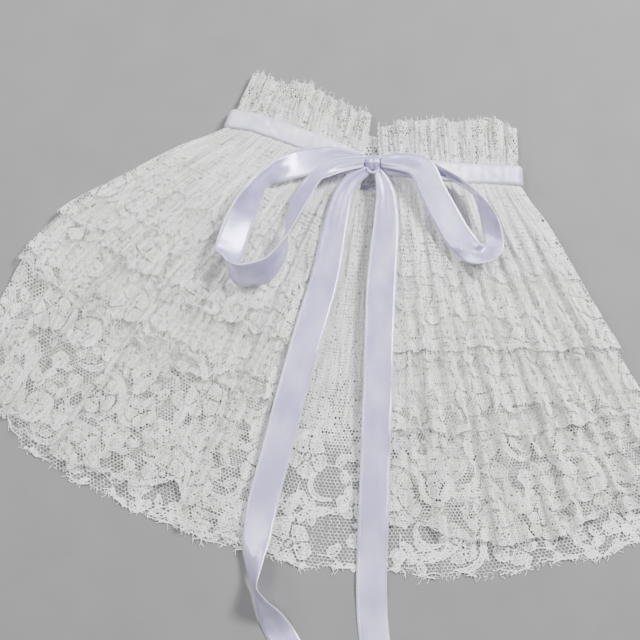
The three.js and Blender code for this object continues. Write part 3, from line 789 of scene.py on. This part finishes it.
def cord_mesh(strip, lines, shown):
    """Raised threads on the sheet's outer side, laid between two distances from the seam"""
    lengths = [len(line) for line, _, _ in lines]
    place = np.concatenate([line for line, _, _ in lines])
    width = np.repeat([width for _, width, _ in lines], lengths)
    stray = np.repeat([stray for _, _, stray in lines], lengths)
    run = np.repeat(np.arange(len(lines)), lengths)
    u, d = place[:, 0], place[:, 1]
    kept = (u > CORD_MARGIN) & (u < strip.width - CORD_MARGIN) & (d > shown[0]) & (d < shown[1])
    kept &= (strip.inside(u, d) > CORD_MARGIN / 2) | stray
    point = strip.points(u, d)
    along_u = strip.points(u + CORD_PROBE, d) - strip.points(u - CORD_PROBE, d)
    along_d = strip.points(u, d + CORD_PROBE) - strip.points(u, d - CORD_PROBE)
    normal = unit(np.cross(along_d, along_u))
    same_run = run[1:] == run[:-1]
    joined = same_run & kept[1:] & kept[:-1]
    steps = np.where(same_run[:, None], point[1:] - point[:-1], 0)
    ahead = np.zeros_like(point)
    ahead[:-1] += steps
    ahead[1:] += steps
    side = unit(np.cross(normal, ahead))
    half = (width / 2)[:, None]
    base = point + CORD_CLEARANCE * normal
    height = np.minimum(CORD_HEIGHT, 0.45 * width)[:, None]
    section = [base + side * half, base + normal * height, base - side * half]
    corners = np.stack(section, axis=1).reshape(-1, 3)
    cloth = np.repeat(place, 3, axis=0)
    start = np.nonzero(joined)[0] * 3
    quads = np.concatenate([
        np.stack([start, start + 3, start + 4, start + 1], -1),
        np.stack([start + 1, start + 4, start + 5, start + 2], -1),
    ])
    return corners, cloth, quads


# Meshes
NO_TRIANGLES = np.zeros((0, 3), int)


def shift_of_the_drawing():
    """From the drawing to the frame: the corner of the right tail's end is known in both"""
    x, y, _, across, _, width = TAIL_RIGHT[-1]
    low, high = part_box("ribbon_tail_right")
    end_x = x + width / 2 * cos(radians(across))
    end_y = y - width / 2 * sin(radians(across))
    return np.array([high[0] / MM - end_x, low[1] / MM - end_y, 0])


SHIFT = shift_of_the_drawing()


def add_object(name, data):
    made = bpy.data.objects.new(name, data)
    bpy.context.scene.collection.objects.link(made)
    return made


def mesh_object(name, points, quads, triangles, material, maps):
    """A piece on the collar's body; maps: {name of the map: coordinates of each point}"""
    corners = np.concatenate([quads.ravel(), triangles.ravel()])
    used, corners = np.unique(corners, return_inverse=True)
    starts = summed([4] * len(quads) + [3] * len(triangles))[:-1]
    mesh = bpy.data.meshes.new(name)
    kept = points[used]
    mesh.vertices.add(len(kept))
    mesh.vertices.foreach_set("co", ((kept + SHIFT) * MM).astype(np.float32).ravel())
    mesh.loops.add(len(corners))
    mesh.loops.foreach_set("vertex_index", corners.astype(np.int32))
    mesh.polygons.add(len(starts))
    mesh.polygons.foreach_set("loop_start", starts.astype(np.int32))
    mesh.update(calc_edges=True)
    for map_name, coordinates in maps.items():
        layer = mesh.uv_layers.new(name=map_name)
        layer.data.foreach_set("uv", coordinates[used][corners].astype(np.float32).ravel())
    mesh.shade_smooth()
    mesh.materials.append(material)
    made = add_object(name, mesh)
    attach(made, "root")
    return made


def baked_map(cloth):
    low, high = cloth.min(axis=0), cloth.max(axis=0)
    return (cloth - low) / (high - low)


# Materials
class Nodes:
    """A material's node tree, with short ways to add and link nodes"""

    def __init__(self, name, **values):
        self.material = bpy.data.materials.new(name)
        self.material.use_nodes = True
        self.tree = self.material.node_tree
        self.shader = self.tree.nodes["Principled BSDF"]
        for socket, value in values.items():
            self.shader.inputs[socket.replace("_", " ")].default_value = value

    def add(self, kind, inputs=(), **settings):
        node = self.tree.nodes.new("ShaderNode" + kind)
        for key, value in settings.items():
            setattr(node, key, value)
        for key, value in dict(inputs).items():
            if isinstance(value, bpy.types.NodeSocket):
                self.tree.links.new(value, node.inputs[key])
            else:
                node.inputs[key].default_value = value
        return node

    def link(self, output, socket):
        self.tree.links.new(output, self.shader.inputs[socket])

    def cloth_map(self, scale=(1, 1, 1)):
        source = self.add("UVMap", uv_map="cloth").outputs["UV"]
        return self.add("Mapping", {"Vector": source, "Scale": scale}).outputs["Vector"]

    def noise(self, vector, scale, detail=3.0):
        inputs = {"Vector": vector, "Scale": scale, "Detail": detail}
        return self.add("TexNoise", inputs).outputs["Fac"]

    def wave(self, vector, direction, scale, distortion=0.0):
        inputs = {"Vector": vector, "Scale": scale, "Distortion": distortion}
        return self.add("TexWave", inputs, bands_direction=direction).outputs["Fac"]

    def colours(self, factor, *stops):
        """A colour ramp between two (place, colour) stops"""
        node = self.add("ValToRGB", {"Fac": factor})
        for element, (place, colour) in zip(node.color_ramp.elements, stops):
            element.position, element.color = place, colour
        return node.outputs["Color"]

    def values(self, factor, low, high):
        inputs = {"Value": factor, "To Min": low, "To Max": high}
        return self.add("MapRange", inputs).outputs["Result"]

    def math(self, operation, *inputs):
        return self.add("Math", dict(enumerate(inputs)), operation=operation).outputs["Value"]

    def bump(self, height, strength, distance):
        inputs = {"Height": height, "Strength": strength, "Distance": distance}
        self.link(self.add("Bump", inputs).outputs["Normal"], "Normal")


def grey(level, warm=0.0):
    return (level + warm, level + 0.4 * warm, level - warm, 1)


def lace_material():
    sheen = {"Sheen_Weight": 0.25, "Sheen_Roughness": 0.5}
    n = Nodes("lace_thread", Roughness=0.85, Specular_IOR_Level=0.3, **sheen)
    cloth = n.cloth_map()
    fine = n.noise(cloth, 0.55, 4)
    # painted shade: long streaks along d darken the lace where the grooves between fine gathers would be
    # in shade; the fine noise is the thread's own uneven tone
    painted_gather_shade = n.noise(n.cloth_map((0.36, 0.03, 1)), 1.0, 3)
    mixed = n.math("MULTIPLY_ADD", painted_gather_shade, 0.6, n.math("MULTIPLY", fine, 0.4))
    n.link(n.colours(mixed, (0.41, grey(0.53, 0.012)), (0.56, grey(0.91, 0.014))), "Base Color")
    warp, weft = n.wave(cloth, "X", 0.24, 1.2), n.wave(cloth, "Y", 0.20, 1.2)
    n.bump(n.math("ADD", warp, weft), 0.6, 0.0003)
    return n.material


def cord_material():
    n = Nodes("lace_cord", Roughness=0.6, Sheen_Weight=0.3, Sheen_Roughness=0.4, Specular_IOR_Level=0.4)
    cloth = n.cloth_map()
    cotton = n.colours(n.noise(cloth, 0.6, 2), (0.3, grey(0.90, 0.01)), (0.7, grey(0.96, 0.006)))
    n.link(cotton, "Base Color")
    n.bump(n.wave(cloth, "DIAGONAL", 0.9, 0.6), 0.6, 0.0002)
    return n.material


RIBBON_CUT = 22.0  # the ribbon's width, in millimetres
# Each pair: the satin's own colour, then a paler colour that is painted sheen, laid in patches over it by
# the satin's material
SATIN, SATIN_PAINTED_SHEEN = (0.49, 0.45, 0.75, 1), (0.68, 0.64, 0.90, 1)
NECK_SATIN, NECK_SATIN_PAINTED_SHEEN = (0.62, 0.60, 0.82, 1), (0.86, 0.85, 0.96, 1)
PICOT_WHITE = (0.86, 0.85, 0.95, 1)
PICOT_FROM = 10.1  # where the woven edge begins, from the ribbon's middle


def satin_material(name, dark, light, metallic, roughness):
    """Woven satin: u in the cloth map runs across the ribbon, in millimetres from its middle"""
    gloss = {"Specular_IOR_Level": 1.0, "Anisotropic": 0.5}
    n = Nodes(name, Metallic=metallic, Sheen_Weight=0.1, Sheen_Roughness=0.35, **gloss)
    cloth = n.cloth_map()
    # painted sheen: a slow noise lays patches of the paler colour over the satin's own colour, standing in
    # for the satin's lustre
    drift = n.noise(n.cloth_map((0.04, 0.022, 1)), 1.0, 2)
    ground = n.colours(drift, (0.40, dark), (0.62, light))
    across = n.add("SeparateXYZ", {"Vector": cloth})
    edge = n.math("GREATER_THAN", n.math("ABSOLUTE", across.outputs["X"]), PICOT_FROM)
    mix = n.add("Mix", {"Factor": edge, "A": ground, "B": PICOT_WHITE}, data_type="RGBA")
    n.link(mix.outputs["Result"], "Base Color")
    n.link(n.values(n.noise(cloth, 0.3, 2), *roughness), "Roughness")
    weft, picot = n.wave(cloth, "Y", 1.0, 0.4), n.wave(cloth, "Y", 0.33)
    n.bump(n.math("MULTIPLY_ADD", n.math("MULTIPLY", picot, edge), 2.5, weft), 0.25, 0.0001)
    return n.material


LACE = lace_material()
CORD = cord_material()
RIBBON = satin_material("satin_ribbon", SATIN, SATIN_PAINTED_SHEEN, 0.3, (0.20, 0.30))
NECK_RIBBON = satin_material("satin_neck", NECK_SATIN, NECK_SATIN_PAINTED_SHEEN, 0.1, (0.38, 0.50))


# The lace pieces
def lace_pieces(name, strip, seed, shown, back_cell, innermost):
    """A strip as a left and a right half, and the cords on it"""
    motifs = lay_out_motifs(strip, seed)
    left_fold, right_fold = strip.folds
    back_hidden, back_run = (None, INSIDE_RUN) if innermost else (strip.hidden, GATHERED_RUN)
    parts = (
        (0, left_fold + FOLD_LAP, CELL, strip.hidden, GATHERED_RUN),
        (left_fold - FOLD_LAP, right_fold + FOLD_LAP, back_cell, back_hidden, back_run),
        (right_fold - FOLD_LAP, strip.width, CELL, strip.hidden, GATHERED_RUN),
    )
    nets = [net(strip, motifs, seed + number, *part) for number, part in enumerate(parts)]
    starts = np.cumsum([0] + [len(made[0]) for made in nets])
    cloth = np.concatenate([made[0] for made in nets])
    quads = np.concatenate([made[1] + start for made, start in zip(nets, starts)])
    triangles = np.concatenate([made[2] + start for made, start in zip(nets, starts)])
    points = strip.points(cloth[:, 0], cloth[:, 1])
    middle = strip.width / 2
    maps = {"cloth": cloth, "OFBake": baked_map(cloth)}
    lines = cord_lines(strip, motifs, np.random.default_rng(seed))
    cords, cord_cloth, cord_quads = cord_mesh(strip, lines, shown)
    cord_maps = {"cloth": cord_cloth, "OFBake": baked_map(cord_cloth)}
    for half, belongs in (("left", np.less), ("right", np.greater_equal)):
        some_quads = quads[belongs(cloth[quads[:, 0], 0], middle)]
        some_triangles = triangles[belongs(cloth[triangles[:, 0], 0], middle)]
        piece = mesh_object(f"{name}_{half}", points, some_quads, some_triangles, LACE, maps)
        threads = cord_quads[belongs(cord_cloth[cord_quads[:, 0], 0], middle)]
        cord_name = f"{name}_{half}_cords"
        cord = mesh_object(cord_name, cords, threads, NO_TRIANGLES, CORD, cord_maps)
        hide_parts(name)


TIER_LOOP = make_loop(GATHERS)
FRILL_LOOP = make_loop(PLEATS)


TIERS = (  # layer, tier, tier above, tier below, cut width, hem, hem of the tier above, seed
    (1, "top", None, "middle", 880.0, 150.0, None, 50),
    (2, "middle", "top", "bottom", 990.0, 203.0, 136.0, 60),
    (3, "bottom", "middle", None, 1070.0, 302.0, 189.0, 70),
)
INNERMOST_CELL = 2.7
NECK_CORDS = 22.0  # how far from the seam the top tier's cords begin
CORD_LAP = 4.0
FRILL_CUT = 620.0
FRILL_EDGE = -54.5
FRILL_SEED = 31


def build_tiers():
    for layer, tier, above, below, width, length, hidden, seed in TIERS:
        strip = Strip(TIER_LOOP, tier_surface(layer, tier, above), width, tier, -TIER_TUCK, length, hidden)
        shown = ((hidden or NECK_CORDS) - CORD_LAP, inf)
        innermost = layer == INNERMOST
        cell = INNERMOST_CELL if innermost else UNDERSIDE_CELL
        lace_pieces("tier_" + tier, strip, seed, shown, cell, innermost)


def build_frill():
    strip = Strip(FRILL_LOOP, frill_surface, FRILL_CUT, "frill", FRILL_EDGE, -FRILL_TUCK)
    shown = (-inf, -BAND_WIDTH - 6)
    lace_pieces("neck_frill", strip, FRILL_SEED, shown, UNDERSIDE_CELL, False)


# Ribbons
RIBBON_THICKNESS = 0.4
RIBBON_ACROSS = 10
RIBBON_ROW = 1.3
PICOT = 0.35  # how far the tiny loops of the woven edge stand out
BEDDING = 0.7  # how far the lace's threads hold a ribbon up
BEDDING_HEIGHTS = (2.0, 6.0)
BEND = 5.5  # across a pinched ribbon, in radians
PINCH = 0.05  # how high it bends for each millimetre that it is narrower
SAG = 0.25  # how far a ribbon's middle stands over its edges
BAND_DROP = (0.9, 1.6)  # how far the ribbon's lower and upper edges press down on the lace
BAND_SPAN = 0.7  # share of the gathers' height that the ribbon bridges
BAND_EDGE = 0.07  # share of the ribbon's width over which it is pressed down
BAND_STATIONS, BAND_ROWS = 420, 12
NECK_CREASES = (  # place along the seam, slant, width, depth
    (22, 2.3, 2.2, 0.6),
    (51, -1.9, 1.6, 0.8),
    (79, 2.6, 2.4, 0.6),
    (98, -2.2, 1.6, 0.7),
    (352, -1.8, 1.8, 0.6),
    (380, 2.4, 2.2, 0.7),
    (409, -2.0, 1.9, 0.7),
    (435, 1.2, 2.3, 0.6),
)


def shell(name, grid, across, along, material):
    """A closed ribbon of even thickness round a grid of middle points, grid[row][place across]"""
    down = np.gradient(grid, axis=0)
    over = np.gradient(grid, axis=1)
    normal = unit(np.cross(over, down))
    rows, columns = grid.shape[:2]
    faces = [(grid + side * normal * RIBBON_THICKNESS / 2).reshape(-1, 3) for side in (1, -1)]
    number = np.arange(rows * columns).reshape(rows, columns)
    front = [number[:-1, :-1], number[:-1, 1:], number[1:, 1:], number[1:, :-1]]
    quads = [np.stack(front, -1).reshape(-1, 4)]
    quads.append((quads[0] + rows * columns)[:, ::-1])
    for line in (number[0], number[-1, ::-1], number[::-1, 0], number[:, -1]):
        below = line + rows * columns
        quads.append(np.stack([line[:-1], below[:-1], below[1:], line[1:]], -1))
    cloth = np.stack(np.broadcast_arrays(across, along[:, None]), -1)
    cloth = np.tile(cloth.reshape(-1, 2), (2, 1))
    points, quads = np.concatenate(faces), np.concatenate(quads)
    return mesh_object(name, points, quads, NO_TRIANGLES, material, {"cloth": cloth})


def build_strip(name, rows, phase):
    columns = table(RIBBON_COLUMNS, rows)
    knots = run_along(np.array(rows)[:, :3])
    place = np.interp(np.arange(0, knots[-1], RIBBON_ROW), knots, np.arange(len(rows)))
    place = np.append(place, len(rows) - 1)
    section = {key: read(columns, key, place) for key in RIBBON_COLUMNS}
    tip, across = np.radians(section["tip"]), np.radians(section["across"])
    half = np.stack([np.cos(tip) * np.cos(across), np.cos(tip) * np.sin(across), np.sin(tip)], -1)
    looped = PICOT * (np.arange(len(place)) % 2)[:, None]
    width = section["width"][:, None]
    half *= width / 2
    height = section["z"] + BEDDING * ease(section["z"], *BEDDING_HEIGHTS)
    middle = np.stack([section["x"], section["y"], height], -1)
    share = np.linspace(-1, 1, RIBBON_ACROSS + 1)
    reach = share[None] * np.ones((len(place), 1))
    reach[:, [0, -1]] *= 1 + looped / (width / 2)
    grid = middle[:, None] + reach[..., None] * half[:, None]
    run = run_along(middle)
    normal = unit(np.cross(np.gradient(grid, axis=1), np.gradient(grid, axis=0)))
    normal *= np.where(normal[..., 2:] < 0, -1, 1)
    pinched = (RIBBON_CUT - width) * PINCH
    wave = np.cos(share[None] * BEND + phase) * pinched
    wave = wave + 0.18 * np.sin(run[:, None] / 13 + 2 * share[None] + phase)
    grid = grid + normal * (wave + SAG * (1 - share[None] ** 2))[..., None]
    made = shell(name + "_satin", grid, share * RIBBON_CUT / 2, run, RIBBON)
    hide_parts(name)


def build_neck_ribbon():
    c = along_loop(TIER_LOOP, np.linspace(0, len(TIER_LOOP["at"]) - 1, BAND_STATIONS))
    c = {key: np.concatenate([value[:1], value, value[-1:]]) for key, value in c.items()}
    c["x"][[0, -1]] += (BAND_TAB, -BAND_TAB)
    c["wave"][[0, -1]] = 0
    share = np.linspace(0, 1, BAND_ROWS)
    rows = []
    for part in share:
        d = np.full(len(c["at"]), -BAND_WIDTH * part)
        fold = np.zeros(len(c["at"]))
        for seam, slant, width, depth in NECK_CREASES:
            off = (c["seam"] - seam - slant * (part - 0.5) * 9) / width
            fold += depth * np.exp(-off * off)
        arch = sin(pi * part) ** 0.5
        lift = 0.8 + 0.4 * np.sin(c["seam"] / 17 + 3.4 * part + 1.2 * np.sin(c["seam"] / 23))
        hemmed = BAND_DROP[0] * exp(-((part / BAND_EDGE) ** 2))
        hemmed = hemmed + BAND_DROP[1] * exp(-(((1 - part) / BAND_EDGE) ** 2))
        level = front_height(c, d, 0) - BAND_SPAN * swell(c, d)
        front = level + (lift - fold) * arch - hemmed
        rows.append(loop_point(c, d, front, back_height(c, d, 0)))
    grid = np.stack(rows, axis=1)
    across = (share - 0.5) * RIBBON_CUT
    made = shell("neck_ribbon_satin", grid, across, run_along(grid[:, 0]), NECK_RIBBON)
    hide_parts("neck_ribbon")


KNOT = {"x": 40.4, "y": 121.6, "z": 17.3, "half_x": 6.0, "half_y": 6.2, "half_z": 5.0}
KNOT_AROUND, KNOT_ALONG = 56, 30
RIM_AROUND, RIM_ALONG = 10, 26
KNOT_RIM = {
    "half_x": 4.4, "drop": 4.2, "start": -4.4, "lift": 1.8, "half_width": 1.1, "half_height": 0.45
}


def tube_quads(rows, columns):
    number = np.arange(rows * columns).reshape(rows, columns)
    following = np.roll(number, -1, axis=1)
    return np.stack([number[:-1], number[1:], following[1:], following[:-1]], -1).reshape(-1, 4)


def build_knot():
    """The ribbon wound round the waist of the bow: a barrel with the folds of its turns"""
    angle = np.linspace(0, 2 * pi, KNOT_AROUND, endpoint=False)
    share = np.linspace(-1, 1, KNOT_ALONG + 1)
    x = np.sin(share * pi / 2)
    girth = (1 - np.abs(x) ** 3.2) ** 0.42
    girth[[0, -1]] = 0.12
    turn, along_x = np.meshgrid(angle, x)
    girth = np.broadcast_to(girth[:, None], turn.shape)
    slant = along_x + 0.16 * np.sin(turn + 0.6)
    folds = 1 - 0.075 * (1 + np.cos(9.2 * slant)) - 0.05 * np.exp(-((slant - 0.25) / 0.09) ** 2)
    radius = girth * folds
    squarer = 1 + 0.06 * np.cos(4 * turn)
    points = np.stack([
        KNOT["x"] + KNOT["half_x"] * along_x * (1 + 0.03 * np.sin(3 * turn)),
        KNOT["y"] + KNOT["half_y"] * radius * squarer * np.cos(turn),
        KNOT["z"] + KNOT["half_z"] * radius * squarer * np.sin(turn),
    ], -1)
    first = np.arange(KNOT_AROUND)
    ends = []
    for ring in (first, first[::-1] + KNOT_ALONG * KNOT_AROUND):
        ends += [(ring[0], ring[k], ring[k + 1]) for k in range(1, KNOT_AROUND - 1)]
    cloth = np.stack([along_x * 6, turn * 6], -1).reshape(-1, 2)
    rim_points, rim_cloth, rim_quads = knot_rim()
    points = np.concatenate([points.reshape(-1, 3), rim_points])
    quads = np.concatenate([tube_quads(*turn.shape), rim_quads + len(cloth)])
    cloth = np.concatenate([cloth, rim_cloth])
    ends = np.array(ends)
    made = mesh_object("bow_knot_wrap", points, quads, ends, RIBBON, {"cloth": cloth})
    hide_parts("bow_knot")


def knot_rim():
    """The edge of the last turn, standing out in a U below the knot"""
    rim = KNOT_RIM
    share = np.linspace(0, pi, RIM_ALONG)[:, None]
    turn = np.linspace(0, 2 * pi, RIM_AROUND, endpoint=False)[None]
    narrow = 0.35 + 0.65 * np.sin(share) ** 0.5
    out = rim["half_width"] * narrow * np.cos(turn)
    across = (rim["half_x"] + out) * np.cos(share)
    down = rim["start"] - (rim["drop"] + out) * np.sin(share)
    up = rim["lift"] + rim["half_height"] * np.sin(turn) + 0 * share
    points = np.stack([KNOT["x"] + across, KNOT["y"] + down, KNOT["z"] + up], -1)
    quads = tube_quads(RIM_ALONG, RIM_AROUND)[:, [0, 3, 2, 1]]
    cloth = np.stack([6 * np.cos(turn) + 0 * share, 6 * share + 0 * turn], -1)
    return points.reshape(-1, 3), cloth.reshape(-1, 2), quads


def build_ribbons():
    build_strip("bow_loop_left", LOOP_LEFT, 0.4)
    build_strip("bow_loop_right", LOOP_RIGHT, 1.7)
    build_strip("ribbon_tail_left", TAIL_LEFT, 2.5)
    build_strip("ribbon_tail_right", TAIL_RIGHT, 3.3)


# Surface, light and camera
FLOOR_REACH = 4.0
WORLD_COLOUR = (0.94, 0.95, 1.0, 1)
WORLD_STRENGTH = 0.26
LIGHTS = (  # name, place, size, power
    ("key", (0.95, 0.75, 1.15), 0.4, 52),
    ("fill", (-0.85, 0.25, 1.6), 0.5, 16),
    ("rake", (-1.1, 0.85, 0.7), 0.4, 11),
    ("front", (0.05, -0.4, 1.9), 0.8, 6),
)


def build_stage():
    mesh = bpy.data.meshes.new("floor")
    corners = [(x * FLOOR_REACH, y * FLOOR_REACH, 0) for x, y in ((-1, -1), (1, -1), (1, 1), (-1, 1))]
    mesh.from_pydata(corners, [], [(0, 1, 2, 3)])
    n = Nodes("floor_paper", Roughness=0.8)
    place = n.add("TexCoord").outputs["Object"]
    n.link(n.colours(n.noise(place, 30), (0.3, grey(0.20)), (0.7, grey(0.215))), "Base Color")
    mesh.materials.append(n.material)
    add_object("floor", mesh)


def point_at(thing, place, aim):
    thing.location = place
    thing.rotation_euler = (aim - thing.location).to_track_quat("-Z", "Y").to_euler()


def build_light_and_camera():
    for name, place, size, power in LIGHTS:
        light = bpy.data.lights.new(name, "AREA")
        light.size, light.energy = size, power
        point_at(add_object(name, light), place, Vector())
    world = bpy.data.worlds.new("studio")
    world.use_nodes = True
    background = world.node_tree.nodes["Background"]
    background.inputs["Color"].default_value = WORLD_COLOUR
    background.inputs["Strength"].default_value = WORLD_STRENGTH
    bpy.context.scene.world = world
    lens = bpy.data.cameras.new("camera")
    lens.lens, lens.sensor_width = LENS, SENSOR
    distance = FRAME_WIDTH * LENS / SENSOR
    aim = Vector((np.array(AIM) + SHIFT) * MM)
    camera = add_object("camera", lens)
    point_at(camera, aim + distance * Vector((0, -cos(ELEVATION), sin(ELEVATION))), aim)
    bpy.context.scene.camera = camera


build_light_and_camera()
build_stage()
build_tiers()
build_frill()
build_neck_ribbon()
build_knot()
build_ribbons()
